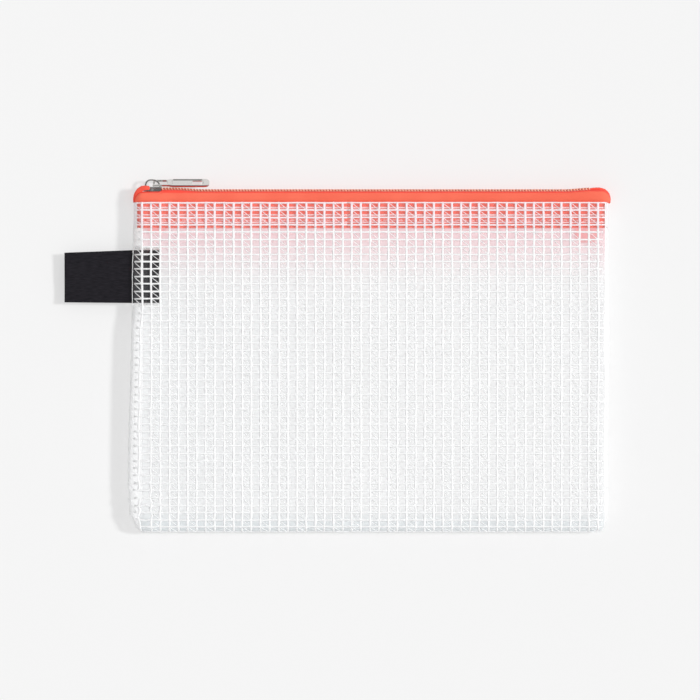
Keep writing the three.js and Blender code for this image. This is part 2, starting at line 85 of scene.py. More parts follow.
# A line through a few points, made even along its length and rounded by averaging neighbours.
def roundedLine(points, count, passes):
    points = np.array(points, float)
    steps = np.linalg.norm(np.diff(points, axis=0), axis=1)
    run = np.concatenate([[0], np.cumsum(steps)])
    even = np.linspace(0, run[-1], count)
    line = np.stack([np.interp(even, run, values) for values in points.T], axis=1)
    for _ in range(passes):
        line[1:-1] = 0.25 * line[:-2] + 0.5 * line[1:-1] + 0.25 * line[2:]
    return line


# An object in the scene for a mesh, a lamp or the camera.
def addObject(name, data):
    thing = bpy.data.objects.new(name, data)
    bpy.context.scene.collection.objects.link(thing)
    return thing


# Points in millimetres become a smooth-shaded mesh in metres. A face with more than four
# corners, the end of a round tube or of a slab, stays flat.
def addMesh(name, points, faces, material, slot):
    mesh = bpy.data.meshes.new(name)
    mesh.from_pydata((np.asarray(points).reshape(-1, 3) * 0.001).tolist(), [], faces)
    mesh.update()
    mesh.polygons.foreach_set("use_smooth", [len(face) <= 4 for face in faces])
    mesh.materials.append(material)
    piece = addObject(name, mesh)
    return piece


# Rows of closed rings: quads join each ring to the next, and a flat face closes each end.
def ringFaces(rows, rings, sides):
    row = np.arange(rows)[:, None] * rings * sides
    side = np.arange(sides)
    ring = row[:, None] + np.arange(rings - 1)[:, None] * sides
    a = ring + side
    b = ring + (side + 1) % sides
    quads = np.stack([a, a + sides, b + sides, b], axis=-1).reshape(-1, 4)
    starts = row + side
    ends = row + (rings - 1) * sides + side[::-1]
    return quads.tolist() + starts.tolist() + ends.tolist()


# Tubes along rows of centres. Each ring is an ellipse: halfAcross lies along the cross
# product of ahead and outward, and halfUp along outward, first made square to the tube.
def tubes(centres, outward, halfAcross, halfUp, sides=6):
    rows, rings = centres.shape[:2]
    ahead = unit(np.gradient(centres, axis=1))
    outward = unit(outward - (outward * ahead).sum(-1, keepdims=True) * ahead)
    across = np.cross(ahead, outward)
    halfAcross = np.broadcast_to(halfAcross, (rows, rings))[..., None, None]
    halfUp = np.broadcast_to(halfUp, (rows, rings))[..., None, None]
    turn = np.arange(sides) * 2 * math.pi / sides
    points = (centres[:, :, None]
              + across[:, :, None] * np.cos(turn)[:, None] * halfAcross
              + outward[:, :, None] * np.sin(turn)[:, None] * halfUp)
    return points.reshape(-1, 3), ringFaces(rows, rings, sides)


# A line in a plane becomes a closed section: half its wall along its normal each way.
def walled(line, half):
    slope = unit(np.gradient(line, axis=0))
    normal = np.stack([-slope[:, 1], slope[:, 0]], axis=-1)
    return np.concatenate([line + normal * half, (line - normal * half)[::-1]])


# Lots of points and faces as one, each lot's faces counted on from the lots before.
def joined(*lots):
    points, faces, start = [], [], 0
    for morePoints, moreFaces in lots:
        points.append(np.asarray(morePoints).reshape(-1, 3))
        faces += [[start + k for k in face] for face in moreFaces]
        start += len(points[-1])
    return np.concatenate(points), faces


# A thick sheet as closed rings: its points at z plus half, then back at z less half.
def slab(x, y, z, half):
    return np.concatenate([pointsOf(x, y, z + half), pointsOf(x, y, z - half)[:, ::-1]], axis=1)


# An open sheet over a grid of points. Its faces turn over where flip is set.
def sheetFaces(points, flip):
    down, across = points.shape[:2]
    a = (np.arange(down - 1)[:, None] * across + np.arange(across - 1)[None, :]).ravel()
    quads = np.stack([a, a + 1, a + across + 1, a + across], axis=-1)
    return (quads[:, ::-1] if flip else quads).tolist()


# A Principled material with plain numbers on its sockets, and its node tree.
def newMaterial(name, colour, roughness, **sockets):
    material = bpy.data.materials.new(name)
    material.use_nodes = True
    shader = material.node_tree.nodes["Principled BSDF"]
    shader.inputs["Base Color"].default_value = (*colour, 1)
    shader.inputs["Roughness"].default_value = roughness
    for socket, value in sockets.items():
        shader.inputs[socket.replace("_", " ")].default_value = value
    return material, material.node_tree, shader


# A node of that kind with its settings. Inputs are given by name, or by number in places, as
# plain values or as the output of another node, which is linked.
def addNode(tree, kind, settings=None, places=None, **inputs):
    node = tree.nodes.new(kind)
    for key, value in (settings or {}).items():
        setattr(node, key, value)
    named = {key.replace("_", " "): value for key, value in inputs.items()}
    for key, value in {**named, **(places or {})}.items():
        if isinstance(value, bpy.types.NodeSocket):
            tree.links.new(value, node.inputs[key])
        else:
            node.inputs[key].default_value = value
    return node


# The Object coordinates, stretched by a scale for each axis and turned.
def scaledPlace(tree, scale=(1, 1, 1), turn=(0, 0, 0)):
    place = addNode(tree, "ShaderNodeTexCoord")
    mapping = addNode(tree, "ShaderNodeMapping", Vector=place.outputs["Object"], Scale=scale,
                      Rotation=turn)
    return mapping.outputs["Vector"]


# The X, Y and Z of a vector.
def partsOf(tree, vector):
    return addNode(tree, "ShaderNodeSeparateXYZ", Vector=vector).outputs


# Noise over the object, from 0 to 1.
def noiseOver(tree, vector, scale, detail):
    noise = addNode(tree, "ShaderNodeTexNoise", Vector=vector, Scale=scale, Detail=detail)
    return noise.outputs["Fac"]


# One step of arithmetic on one value or two.
def worked(tree, operation, first, second=0.0):
    step = addNode(tree, "ShaderNodeMath", {"operation": operation}, {0: first, 1: second})
    return step.outputs[0]


# Two colours mixed by a share, or multiplied.
def mixedColour(tree, blend, share, first, second):
    mix = addNode(tree, "ShaderNodeMix", {"data_type": "RGBA", "blend_type": blend},
                  {0: share, 6: first, 7: second})
    return mix.outputs[2]


# A shader that goes from first to second as share goes from 0 to 1.
def mixedShader(tree, share, first, second):
    return addNode(tree, "ShaderNodeMixShader", None, {0: share, 1: first, 2: second}).outputs[0]


# A colour that runs from low to high as a number runs between two values.
def colourRamp(tree, value, fromValue, toValue, low, high):
    ramp = addNode(tree, "ShaderNodeMapRange", {"interpolation_type": "SMOOTHSTEP"},
                   Value=value, From_Min=fromValue, From_Max=toValue)
    return mixedColour(tree, "MIX", ramp.outputs["Result"], (*low, 1), (*high, 1))


# A colour linked to the shader.
def setColour(tree, shader, colour):
    tree.links.new(colour, shader.inputs["Base Color"])


# A height pushed into the shader's normal.
def addBump(tree, shader, height, strength, distance):
    bump = addNode(tree, "ShaderNodeBump", Height=height, Strength=strength, Distance=distance)
    tree.links.new(bump.outputs["Normal"], shader.inputs["Normal"])


# Where the film's painted coral glow and its painted shade at the bottom fold begin and end, as
# heights in metres, and where its painted shade towards the left edge begins and ends.
filmLook = {"coral": (0.034, 0.060), "paintedBottomShade": (-0.068, -0.058), "darker": (-0.1, 0.02),
            "roughness": 0.28}


# Film with some milk in it: the higher the cover, the less shows through. Its colour is clear
# turning to paintedGlow as Y rises, a painted glow of the coral tape's light. It is multiplied by
# low, a painted shade at the bottom fold, and by left, a painted shade towards the left edge,
# away from the lamp.
def filmMaterial(name, cover, clear, paintedGlow, low=(1, 1, 1), left=(1, 1, 1)):
    material, tree, shader = newMaterial(
        name, clear, filmLook["roughness"], Alpha=cover, IOR=1.5, Specular_IOR_Level=0.6)
    vector = scaledPlace(tree)
    parts = partsOf(tree, vector)
    # Painted light: a coral glow of the tape's light, rising towards the mouth.
    colour = colourRamp(tree, parts["Y"], *filmLook["coral"], clear, paintedGlow)
    # Painted shade: darker towards the bottom fold.
    paintedBottomShade = colourRamp(tree, parts["Y"], *filmLook["paintedBottomShade"], low, (1, 1, 1))
    # Painted shade: darker towards the left edge, away from the lamp.
    darker = colourRamp(tree, parts["X"], *filmLook["darker"], left, (1, 1, 1))
    for shade in (paintedBottomShade, darker):
        colour = mixedColour(tree, "MULTIPLY", 1, colour, shade)
    setColour(tree, shader, colour)
    wrinkles = noiseOver(tree, vector, scale=160, detail=3)
    addBump(tree, shader, wrinkles, strength=0.25, distance=0.0004)
    return material


# White polyester thread under the film: fine plies run along it.
def threadMaterial(name, colour):
    material, tree, shader = newMaterial(name, colour, 0.42, Specular_IOR_Level=0.5)
    plies = noiseOver(tree, scaledPlace(tree), scale=900, detail=2)
    darker = tuple(0.97 * c for c in colour)
    setColour(tree, shader, colourRamp(tree, plies, 0.3, 0.7, darker, colour))
    addBump(tree, shader, plies, strength=0.2, distance=0.0001)
    return material


# Woven polyester tape: a fine herringbone in the bump, slow changes of tone, and a painted shade,
# a deeper red, where the pieces' own "strip" value is 1, on the tape's top bend and its rolled
# ends.
def tapeMaterial(name, colour, deep, edge):
    material, tree, shader = newMaterial(
        name, colour, 0.72, Specular_IOR_Level=0.15, Sheen_Weight=0.05, Sheen_Roughness=0.5)
    slow = noiseOver(tree, scaledPlace(tree), scale=60, detail=3)
    cloth = colourRamp(tree, slow, 0.3, 0.75, deep, colour)
    # Painted shade: the "strip" value mixes in the deeper red of the tape's bend.
    strip = addNode(tree, "ShaderNodeAttribute", {"attribute_name": "strip"})
    setColour(tree, shader, mixedColour(tree, "MIX", strip.outputs["Fac"], cloth, (*edge, 1)))
    ribs = addNode(tree, "ShaderNodeTexWave", {"wave_type": "BANDS", "bands_direction": "X"},
                   Vector=scaledPlace(tree, (640, 640, 640), (0, 0, 0.5)), Scale=1.0,
                   Distortion=0.6, Detail=1.0)
    addBump(tree, shader, ribs.outputs["Fac"], strength=0.3, distance=0.00008)
    return material


# The coil's two colours, a painted highlight and a painted shade, and the distances in metres
# between which one turns to the other.
coilPaintedShadeAndHighlight = {"paintedHighlight": (1.0, 0.64, 0.44), "deep": (0.72, 0.06, 0.035), "turn": (0.00135, 0.00175)}


# Glossy coral nylon of the coil: the colour goes from a painted shade, deep red, to a painted
# highlight, pale coral, as the distance from the middle plane passes the outer bends of the
# turns.
def coilMaterial():
    material, tree, shader = newMaterial(
        "coralCoil", coilPaintedShadeAndHighlight["paintedHighlight"], 0.35, Specular_IOR_Level=0.4, Coat_Weight=0.08,
        Coat_Roughness=0.2)
    depth = partsOf(tree, scaledPlace(tree))["Z"]
    distance = worked(tree, "ABSOLUTE", worked(tree, "SUBTRACT", depth, middle * 0.001))
    # Painted shade inside the turns and a painted highlight on their outer bends.
    colour = colourRamp(tree, distance, *coilPaintedShadeAndHighlight["turn"], coilPaintedShadeAndHighlight["deep"], coilPaintedShadeAndHighlight["paintedHighlight"])
    setColour(tree, shader, colour)
    return material


# Bright nickel plate, with faint wear in its roughness and fine scratches along it.
def nickelMaterial():
    material, tree, shader = newMaterial("nickel", (0.72, 0.71, 0.69), 0.2, Metallic=1.0)
    wear = noiseOver(tree, scaledPlace(tree), scale=700, detail=4)
    rough = addNode(tree, "ShaderNodeMapRange", Value=wear, From_Min=0.3, From_Max=0.75,
                    To_Min=0.14, To_Max=0.3)
    tree.links.new(rough.outputs["Result"], shader.inputs["Roughness"])
    scratches = noiseOver(tree, scaledPlace(tree, (300, 5000, 5000)), scale=1.0, detail=2)
    addBump(tree, shader, scratches, strength=0.06, distance=0.00005)
    return material


# Black satin ribbon: its floats run along X, with a soft sheen.
def satinMaterial():
    material, tree, shader = newMaterial(
        "blackSatin", (0.013, 0.012, 0.0155), 0.55, Specular_IOR_Level=0.2,
        Sheen_Weight=0.04, Sheen_Roughness=0.4)
    floats = noiseOver(tree, scaledPlace(tree, (400, 5200, 5200)), scale=1.0, detail=3)
    colour = colourRamp(tree, floats, 0.3, 0.7, (0.008, 0.0075, 0.01), (0.021, 0.019, 0.024))
    setColour(tree, shader, colour)
    addBump(tree, shader, floats, strength=0.35, distance=0.00006)
    return material


milkWhite = (0.985, 0.99, 0.995)
# Each film's second colour is a painted glow of the coral tape's light. The front film's last two
# colours are painted shade at the bottom fold and at the left edge.
film = filmMaterial("clearFilm", 0.03, (0.95, 0.97, 0.98), (0.97, 0.8, 0.8))
frontMilk = filmMaterial("frontFilm", 0.55, milkWhite, (1.0, 0.68, 0.73),
                         (0.78, 0.83, 0.85), (0.965, 0.975, 0.98))
backMilk = filmMaterial("backFilm", 0.2, milkWhite, (1.0, 0.55, 0.6))
seamMilk = filmMaterial("seamFilm", 0.8, milkWhite, (0.985, 0.97, 0.97))
# The hem film's coral red is a painted glow of the tape's light shining through it.
hemHazeWithPaintedGlow = filmMaterial("hemFilm", 0.22, (1.0, 0.3, 0.28), (1.0, 0.36, 0.32))
threadWhite = threadMaterial("threadWhite", milkWhite)
# The hem threads' pink is a painted glow of the coral tape's light on white thread.
hemThreadWithPaintedGlow = threadMaterial("hemThreadWithPaintedGlow", (0.98, 0.88, 0.92))
coralTape = tapeMaterial("coralTape", (0.97, 0.185, 0.115), (0.92, 0.155, 0.095),
                         (0.97, 0.085, 0.06))
coralCoil = coilMaterial()
nickel = nickelMaterial()
blackSatin = satinMaterial()
print("stage: materials")


# Half the bag's width at a height: its lower corners draw in as quarter ellipses.
def halfWidthAt(y):
    t = np.clip((pouch["bottomY"] + pouch["cornerRun"] - y) / pouch["cornerRun"], 0, 1)
    return pouch["halfWidth"] - pouch["cornerInset"] * (1 - np.sqrt(1 - t * t))


# How a sheet runs flat and then rolls over an edge: the way across seen from above, and
# the share of its height that is left, which are a sine and a cosine of the run beyond.
# Raised to a power below 1, they make the edge squarer.
def turnedEdge(run, flat, power=1.0):
    beyond = np.clip((np.abs(run) - flat) / pouch["rollRadius"], 0, math.pi / 2)
    out = rollReach * np.sin(beyond) ** power
    return np.sign(run) * (np.minimum(np.abs(run), flat) + out), np.cos(beyond) ** power


# How far the left seam bows out past a straight edge, at heights down the bag.
bow = {"heights": [-69.5, -68.7, -66.6, -63.2, -58, -51, -43, -30, -5, 20, 58, 69],
       "out": [2.4, 2.6, 2.8, 2.5, 2.05, 2.2, 2.2, 1.85, 1.5, 1.05, 0.3, 0.0],
       "from": 96.0, "run": 3.6, "power": 1.8}

# The crumpled lower corners, each with its place, its spread and its share; the most that
# they move a point each way; their creases' rates along X and Y; and the wave down the
# side edges as a height, a run and a start.
crumple = {"corners": [(-97, -58, 7.5, 1.0), (96, -60, 5.5, 0.5)],
           "across": 0.5, "down": 0.42, "up": 0.3,
           "creases": [(0.5, 1.15), (0.95, 0.6), (1.3, -0.8)],
           "edgeWave": (0.28, 15, 0.8), "edgeFrom": 84, "edgeRun": 14,
           "fadeFrom": 50, "fadeRun": 16, "lowest": 0.2}


# Soft waves, the left seam's bow, and the crumpled lower corners: sines inside bell-shaped
# patches. Waves and crumples fade out below the hem, so that the mouth stays where it is.
def settled(points, side):
    x, y, z = np.moveaxis(points, -1, 0)
    x = x - (np.interp(y, bow["heights"], bow["out"])
             * np.clip((-x - bow["from"]) / bow["run"], 0, 1) ** bow["power"])
    fade = smoothStep((crumple["fadeFrom"] - y) / crumple["fadeRun"])
    edge = smoothStep((np.abs(x) - crumple["edgeFrom"]) / crumple["edgeRun"])
    fold = sum(share * np.exp(-((x - cornerX) ** 2 + (y - cornerY) ** 2) / (2 * spread ** 2))
               for cornerX, cornerY, spread, share in crumple["corners"])
    first, second, third = (rateX * x + rateY * y for rateX, rateY in crumple["creases"])
    height, run, start = crumple["edgeWave"]
    dx = fade * (edge * height * np.sin(y / run + start)
                 + crumple["across"] * fold * np.sin(first))
    dy = fade * crumple["down"] * fold * np.sin(second + side)
    dz = fade * crumple["up"] * fold * np.sin(third)
    return pointsOf(x + dx, y + dy, np.maximum(z + dz, crumple["lowest"]))


# How much painted shade, the deeper red of a tape's bend, each of a piece's points gets, from 0
# to 1, for its material to read.
def setPaintedBendShade(piece, values):
    strip = piece.data.attributes.new("strip", "FLOAT", "POINT")
    spread = np.broadcast_to(values, len(piece.data.vertices))
    strip.data.foreach_set("value", spread.astype(float))


# Slow waves of each sheet, by its side: a height, and a run and a start along X and along Y.
# The front has finer waves too.
waves = {1: (0.24, 21, 0.7, 17, 1.3), -1: (0.16, 24, 1.9, 19, 0.4), "fine": (0.12, 9.5, 13),
         "fadeFrom": 50, "fadeRun": 20}


# A point of the front (side 1) or back (side -1) sheet. across runs along X from the middle
# and down runs from the hem's lower edge, both along the sheet. The front swells as a
# parabola each way, and both wave as a sine along X times a sine along Y.
def panelPoint(across, down, side):
    across, down = np.broadcast_arrays(across, down)
    overBottom, liftY = turnedEdge(down, flatDown)
    y = hingeY - overBottom
    flat = halfWidthAt(y) - pouch["roll"]
    below = smoothStep((pouch["pressFrom"] - y) / pouch["pressRun"])
    pressed = 1 - pouch["leftPress"] * below * (across < 0)
    x, liftX = turnedEdge(across, flat, power=pressed)
    lift = liftX * liftY
    share = np.clip((y - hingeY + flatDown) / flatDown, 0, 1)
    swell = np.clip(1 - (x / flat) ** 2, 0, 1) * 4 * share * (1 - share)
    fade = smoothStep((waves["fadeFrom"] - y) / waves["fadeRun"]) * lift
    height, runX, startX, runY, startY = waves[side]
    wave = np.sin(x / runX + startX) * np.sin(y / runY + startY)
    if side > 0:
        fineHeight, fineX, fineY = waves["fine"]
        fine = fineHeight * np.sin(x / fineX + y / fineY)
        rise = pouch["crown"] * swell + (height * wave + fine) * fade
    else:
        rise = fade * height * (1 + wave)
    depth = between(pouch["edgeOffset"], pouch["sheetOffset"], lift)
    return settled(pointsOf(x, y, middle + rise + side * depth), side)


# The hem: the sheet goes up to the mouth, round the fold and back down inside.
hem = {"innerEndY": 59.0, "foldRadius": 0.375, "outerCount": 4, "innerCount": 3,
       "innerFirst": 1.95, "innerPitch": 3.08, "edgeInset": 0.5, "jitter": 0.04, "tip": 0.25}
hemFlat = mouthY - hem["foldRadius"] - hingeY
hemArc = math.pi * hem["foldRadius"]
hemBack = mouthY - hem["foldRadius"] - hem["innerEndY"]


# A point of a hem. up runs from the hinge line to the fold, round it as half a circle and
# back down inside.
def hemPoint(across, up, side):
    across, up = np.broadcast_arrays(across, up)
    angle = np.clip((up - hemFlat) / hem["foldRadius"], 0, math.pi)
    back = np.maximum(up - hemFlat - hemArc, 0)
    y = hingeY + np.minimum(up, hemFlat) + hem["foldRadius"] * np.sin(angle) - back
    offset = pouch["sheetOffset"] - hem["foldRadius"] * (1 - np.cos(angle))
    beyond = np.clip((np.abs(across) - flatHalf) / pouch["rollRadius"], 0, math.pi / 2)
    x = np.sign(across) * (np.minimum(np.abs(across), flatHalf)
                           + (offset - hem["edgeInset"]) * np.sin(beyond))
    height = between(pouch["edgeOffset"], offset, np.cos(beyond))
    return pointsOf(x, y, middle + side * height)


# The way out of a sheet on its side: the cross product of its two slopes, by small steps.
def sheetNormal(point, across, down, side, step=0.04):
    slopeAcross = point(across + step, down, side) - point(across - step, down, side)
    slopeDown = point(across, down + step, side) - point(across, down - step, side)
    normal = unit(np.cross(slopeAcross, slopeDown))
    return normal * np.where(normal[..., 2:] * side < 0, -1, 1)


# The woven grid. Columns past edgeColumn are moved out by edgeShift, over the rolled edge,
# and end at outerEnd. clear is the least run between a thread's end and a crossing.
grid = {
    "pitchX": 3.83, "pitchY": 3.10, "firstX": -96.18, "firstRowY": 69.25,
    "columns": 52, "rows": 46, "wideX": 0.94, "wideY": 0.72, "thick": 0.3, "weave": 0.05,
    "jitter": 0.07, "sway": 0.07, "swayRun": (16, 34), "swayShare": (0.3, 1.0),
    "wideShare": (0.9, 1.1), "edgeRun": 101.85, "edgeColumn": 97.6, "edgeShift": 1.1,
    "rowEnd": 97.55, "outerEnd": 110, "clear": 0.3, "topGap": 0.2, "bottomGap": 0.15,
}
backGrid = {"turn": 0.0062, "shiftX": 0.35, "shiftY": 0.5, "stretch": 1.004}

bottomRun = flatDown + rollRun - grid["bottomGap"]


# The places of the grid's upright threads and of its rows, which carry on over the hem.
def gridPlaces(side):
    columns = np.arange(-1, grid["columns"]) * grid["pitchX"] + grid["firstX"]
    rows = np.arange(grid["rows"]) * grid["pitchY"] + hingeY - grid["firstRowY"]
    if side < 0:
        columns = columns * backGrid["stretch"] + backGrid["shiftX"]
        rows = rows + backGrid["shiftY"]
    columns = columns + chance.normal(0, grid["jitter"], columns.shape)
    rows = rows + chance.normal(0, grid["jitter"], rows.shape)
    outside = np.abs(columns) > grid["edgeColumn"]
    columns = columns + np.where(outside, np.sign(columns) * grid["edgeShift"], 0)
    return columns[np.abs(columns) < grid["edgeRun"]], rows


# Threads of a sheet as flat tubes. Each thread's stations fall on and between its
# crossings, where it goes over and under the others by turns. It sways by a slow sine.
def woven(point, side, places, crossings, upright, low, high, turn=0.0):
    inner = crossings[(crossings > low + grid["clear"]) & (crossings < high - grid["clear"])]
    halfway = (inner[1:] + inner[:-1]) / 2
    stations = np.sort(np.concatenate([[low, high], inner, halfway]))
    over = np.zeros(len(stations))
    index = np.searchsorted(stations, inner)
    over[index] = np.where(np.arange(len(inner)) % 2 == 0, 1.0, -1.0)
    phase = chance.uniform(0, 2 * math.pi, len(places))[:, None]
    length = chance.uniform(*grid["swayRun"], len(places))[:, None]
    amount = chance.uniform(*grid["swayShare"], len(places))[:, None] * grid["sway"]
    along = np.broadcast_to(stations, (len(places), len(stations)))
    sway = amount * np.sin(along / length * 2 * math.pi + phase)
    aside = places[:, None] + sway + turn * along
    across, down = (aside, along) if upright else (along, aside)
    centres = point(across, down, side)
    outward = sheetNormal(point, across, down, side)
    weave = np.where(np.arange(len(places)) % 2 == 0, 1, -1)[:, None] * over
    weave = weave * (1 if upright else -1) * grid["weave"]
    centres = centres + outward * weave[..., None]
    wide = grid["wideX" if upright else "wideY"]
    width = wide / 2 * chance.uniform(*grid["wideShare"], len(places))[:, None]
    return tubes(centres, outward, width, grid["thick"] / 2)


# The clear patch over the label's ends, and the places past which the edges turn white.
clearPatch = {"right": -88.3, "low": 26.2, "high": 50.4}
edgeFrom = {"left": -96.3, "right": 98.2}
hemEdgeFrom = {"left": -98.4, "right": 98.4}


# Milky film looks clear where it lies on something, and whiter where it rolls over an edge.
# The faces over the label's ends get the clear film and those past the edges the seams' film.
def filmsByPlace(piece, past=edgeFrom):
    piece.data.materials.append(film)
    piece.data.materials.append(seamMilk)
    middles = np.zeros(len(piece.data.polygons) * 3)
    piece.data.polygons.foreach_get("center", middles)
    x, y = middles.reshape(-1, 3)[:, :2].T * 1000
    over = (x < clearPatch["right"]) & (y > clearPatch["low"]) & (y < clearPatch["high"])
    choice = np.where(over, 1, np.where((x < past["left"]) | (x > past["right"]), 2, 0))
    piece.data.polygons.foreach_set("material_index", choice)


# How many stations the sheets of film have each way.
stations = {"panelAcross": 101, "hemAcross": 97, "down": 66, "ply": 6, "fold": 7}
rollSteps = np.linspace(0, rollRun, 8)[1:]


# The places along a sheet that is flat in the middle and rolls over both side edges.
def rolledPlaces(count):
    return np.concatenate([-(flatHalf + rollSteps)[::-1], np.linspace(-flatHalf, flatHalf, count),
                           flatHalf + rollSteps])


# A sheet of film as one open surface: its point function over a grid of two runs.
def filmSheet(name, point, side, across, run, flip, material, past=edgeFrom):
    points = point(across[None, :], run[:, None], side)
    piece = addMesh(name, points, sheetFaces(points, flip), material, "mesh_film")
    filmsByPlace(piece, past)
    return piece


filament = {"halfAcross": 0.15, "halfUp": 0.09, "steps": 4, "jitter": 0.12, "sides": 4,
            "backShift": 60, "edgeShare": 0.9}


# Fine slanting filaments, one across each cell of every second column: from its corner
# (a, c) to its corner (b, d) the middle line is (a + (b - a) t, c + (d - c) t).
def filaments(point, side, columns, rows, first, fall):
    left, right = columns[first:-1:2], columns[first + 1::2]
    top, bottom = rows[:-1], rows[1:]
    share = np.linspace(0, 1, filament["steps"])
    shift = chance.normal(0, filament["jitter"], (len(left), len(top), 1))
    across = between(left[:, None, None], right[:, None, None], share) + shift
    down = between(top[:, None], bottom[:, None], share if fall else 1 - share)
    across, down = (k.reshape(-1, len(share)) for k in np.broadcast_arrays(across, down))
    outward = sheetNormal(point, across, down, side)
    return tubes(point(across, down, side), outward, filament["halfAcross"],
                 filament["halfUp"], filament["sides"])


# The two crossing sets of threads of one panel, and its filaments. The back's grid is turned
# a little: each thread is moved aside in proportion to its run.
def panelThreads(name, side):
    columns, rows = gridPlaces(side)
    lower = rows[(rows > grid["topGap"]) & (rows < bottomRun)]
    turn = backGrid["turn"] if side < 0 else 0.0
    nearEdge = np.abs(columns) > grid["edgeColumn"]
    inner = woven(panelPoint, side, columns[~nearEdge], lower, True, 0, bottomRun, turn)
    outer = woven(panelPoint, side, columns[nearEdge], lower, True, 0, grid["outerEnd"])
    across = woven(panelPoint, side, lower, columns, False, -grid["rowEnd"], grid["rowEnd"],
                   -turn)
    cellSides = columns[~nearEdge] + turn * filament["backShift"]
    if side > 0:
        atEdge = cellSides[0] - filament["edgeShare"] * grid["pitchX"]
        cellSides = np.concatenate([[atEdge], cellSides])
    slanting = filaments(panelPoint, side, cellSides, lower, 0, side > 0)
    piece = addMesh(name, *joined(inner, outer, across, slanting), threadWhite, "mesh_film")
    return piece, columns, rows


panelAcross = rolledPlaces(stations["panelAcross"])
panelDown = np.concatenate([np.linspace(0, flatDown, stations["down"]), flatDown + rollSteps])
frontFilm = filmSheet("front_film", panelPoint, 1, panelAcross, panelDown, False, frontMilk)
backFilm = filmSheet("back_film", panelPoint, -1, panelAcross, panelDown, True, backMilk)
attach(frontFilm, "bag")
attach(backFilm, "bag")
frontThreads, frontColumns, frontRows = panelThreads("front_threads", 1)
backThreads, backColumns, backRows = panelThreads("back_threads", -1)
for piece in (frontThreads, backThreads):
    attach(piece, "bag")
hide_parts("front_panel")
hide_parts("back_panel")
print("stage: panels")


# The front lip in two halves, as places along X that reach past both ends of the bag.
rimHalves = {"left": (-103.0, -10.0), "right": (-10.0, 103.0)}


# The real front lip stays shut at the left seam, opens over the next few centimetres and is shut
# again before the slider ends its run; here each half only has its place baked into its mesh, the
# same way for both.
def followRim(piece, half):
    if half == "left":
        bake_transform(piece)
    else:
        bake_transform(piece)


# The hem's film between two places along X: hemPoint over a grid, finer round the fold.
def hemFilm(name, side, low, high):
    whole = rolledPlaces(stations["hemAcross"])
    across = np.unique(np.concatenate([whole[(whole > low) & (whole < high)],
                                       np.clip([low, high], whole[0], whole[-1])]))
    up = np.concatenate([np.linspace(0, hemFlat, stations["ply"]),
                         hemFlat + np.linspace(0, hemArc, stations["fold"])[1:],
                         hemFlat + hemArc + np.linspace(0, hemBack, stations["ply"])[1:]])
    return filmSheet(name, hemPoint, side, across, up, side > 0, hemHazeWithPaintedGlow, hemEdgeFrom)


# The hem's threads: the uprights go round the fold, and each ply has rows of its own.
def hemThreads(name, side, columns, low, high):
    outerRows = grid["firstRowY"] - hingeY - np.arange(hem["outerCount"]) * grid["pitchY"]
    innerRows = (hemFlat + hemArc + hem["innerFirst"]
                 + np.arange(hem["innerCount"]) * hem["innerPitch"])
    rows = np.concatenate([outerRows, innerRows])
    rows = np.sort(rows + chance.normal(0, hem["jitter"], rows.shape))
    uprights = columns[(columns > low) & (columns < high)]
    crossings = np.sort(np.concatenate([rows, hemFlat + np.linspace(0, hemArc, 5)]))
    outer = rows[rows < hemFlat + grid["clear"]]
    odd = int(np.searchsorted(columns, low)) % 2
    lots = [
        woven(hemPoint, side, uprights, crossings, True, 0,
              hemFlat + hemArc + hemBack + hem["tip"]),
        woven(hemPoint, side, rows, columns, False, max(low, -grid["edgeRun"]),
              min(high, grid["edgeRun"])),
        filaments(hemPoint, side, uprights, outer, odd, False),
    ]
    return addMesh(name, *joined(*lots), hemThreadWithPaintedGlow, "mesh_film")


sewing = {"y": 61.9, "length": 2.5, "gap": 0.5, "half": 0.13, "end": 97.5, "lift": 0.2,
          "dip": 0.45}


# The sewing line that holds hem and tape together, as short stitches in a row. A stitch
# rises by lift less dip times the fourth power of the way from its middle.
def stitchRow(side, low, high):
    starts = np.arange(max(low, -sewing["end"]), min(high, sewing["end"]) - sewing["length"],
                       sewing["length"] + sewing["gap"])
    share = np.linspace(0, 1, 6)
    across = starts[:, None] + share * sewing["length"]
    up = np.full_like(across, sewing["y"] - hingeY)
    centres = hemPoint(across, up, side)
    centres[..., 2] += side * (sewing["lift"] - sewing["dip"] * (2 * share - 1) ** 4)
    return tubes(centres, np.array([0, 0, side]), sewing["half"], sewing["half"], 5)


for half, (low, high) in rimHalves.items():
    lip = hemFilm("front_hem_film_" + half, 1, low, high)
    followRim(lip, half)
    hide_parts("front_hem")
    followRim(hemThreads("front_hem_threads_" + half, 1, frontColumns, low, high), half)
    stitches = addMesh("front_hem_stitches_" + half, *stitchRow(1, low, high),
                       hemThreadWithPaintedGlow, "mesh_film")
    followRim(stitches, half)
backHem = hemFilm("back_hem_film", -1, -103, 103)
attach(backHem, "bag")
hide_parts("back_hem")
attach(hemThreads("back_hem_threads", -1, backColumns, -103, 103), "bag")
print("stage: hems")


# The seam allowances. Their plies part between labelLow and labelHigh, and ripple inside.
# Each seam's threads start at inset from the edge and end at tip past the width, where the
# film ends filmShort before it. first is the run from the edge to the first long thread of
# its front and its back ply.
seam = {"width": 6.0, "plyGap": 0.14, "labelLow": 26.5, "labelHigh": 50.1, "labelGap": 0.26,
        "partRun": 3, "edge": 0.3, "ripple": 0.06, "sideRun": 5, "bottomRun": 6,
        "filmShort": 0.35, "lineShort": 0.6, "endGap": 0.5, "tip": 0.05, "bottomColumns": 95,
        "left_seam": {"ends": (-63.2, 68.9), "first": (3.5, 2.7), "inset": 0.6},
        "right_seam": {"ends": (-63.2, 68.9), "first": (1.3, 2.7), "inset": 0.6},
        "bottom_seam": {"ends": (-95.4, 95.4), "first": (1.0, 2.3), "inset": 0.05}}


